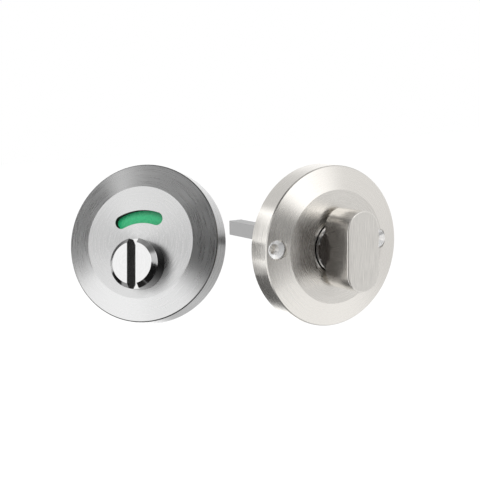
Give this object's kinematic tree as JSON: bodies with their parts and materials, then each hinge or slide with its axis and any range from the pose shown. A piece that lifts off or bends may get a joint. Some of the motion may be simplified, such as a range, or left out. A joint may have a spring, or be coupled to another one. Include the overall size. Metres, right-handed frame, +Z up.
{
  "type": "bathroom privacy lockset",
  "caption": "Privacy lockset for a bathroom door: a round outside rose with a slotted emergency release and a vacant window, and an inside rose with a thumb turn and square spindle.",
  "frame": {"origin": "centre of the inside rose's back face, on the spindle's axis, where the rose meets the door", "axes": "+Y out of the inside rose's back along the spindle, -Y out of its front, +Z up with the turn upright"},
  "size_m": [0.0856, 0.0798, 0.0505],
  "materials": {
    "outside_rose_satin": "satin chromed casting, brushed round",
    "inside_rose_satin": "satin nickel plated casting, brushed round",
    "release_polished": "polished, with faint turning lines",
    "grip_satin": "satin, brushed up and down",
    "stem_polished": "polished",
    "spindle_steel": "zinc plated bright drawn bar",
    "spring_steel": "dark tempered strip",
    "nylon": "moulded, natural",
    "carrier_plate": "pressed and zinc plated",
    "vacant_green": "gloss enamel",
    "engaged_red": "gloss enamel"
  },
  "bodies": {
    "roses": {"outside_rose": "outside_rose_satin", "outside_bush": "nylon", "stop_pin": "spindle_steel", "inside_rose": "inside_rose_satin", "inside_bush": "nylon"},
    "release": {"release_turn": "release_polished", "indicator_carrier": "carrier_plate", "vacant_field": "vacant_green", "engaged_field": "engaged_red", "release_disc_spring": "spring_steel", "release_washer": "spindle_steel", "release_circlip": "spring_steel"},
    "turn": {"turn_stem": "stem_polished", "turn_grip": "grip_satin", "grip_grub_screw": "spring_steel", "turn_disc_spring": "spring_steel", "turn_washer": "spindle_steel", "turn_circlip": "spring_steel", "spindle": "spindle_steel", "spindle_pin": "spindle_steel"}
  },
  "joints": [
    {"name": "thumb_turn", "type": "hinge", "parent": "roses", "child": "turn", "pos_m": [0, 0, 0], "axis": [0, 1, 0], "range_deg": [0, 90]},
    {"name": "release_turning", "type": "hinge", "parent": "roses", "child": "release", "pos_m": [-0.04736, 0.02875, -0.0057], "axis": [-0.7676, -0.589, 0.2529], "range_deg": [0, 90]}
  ]
}
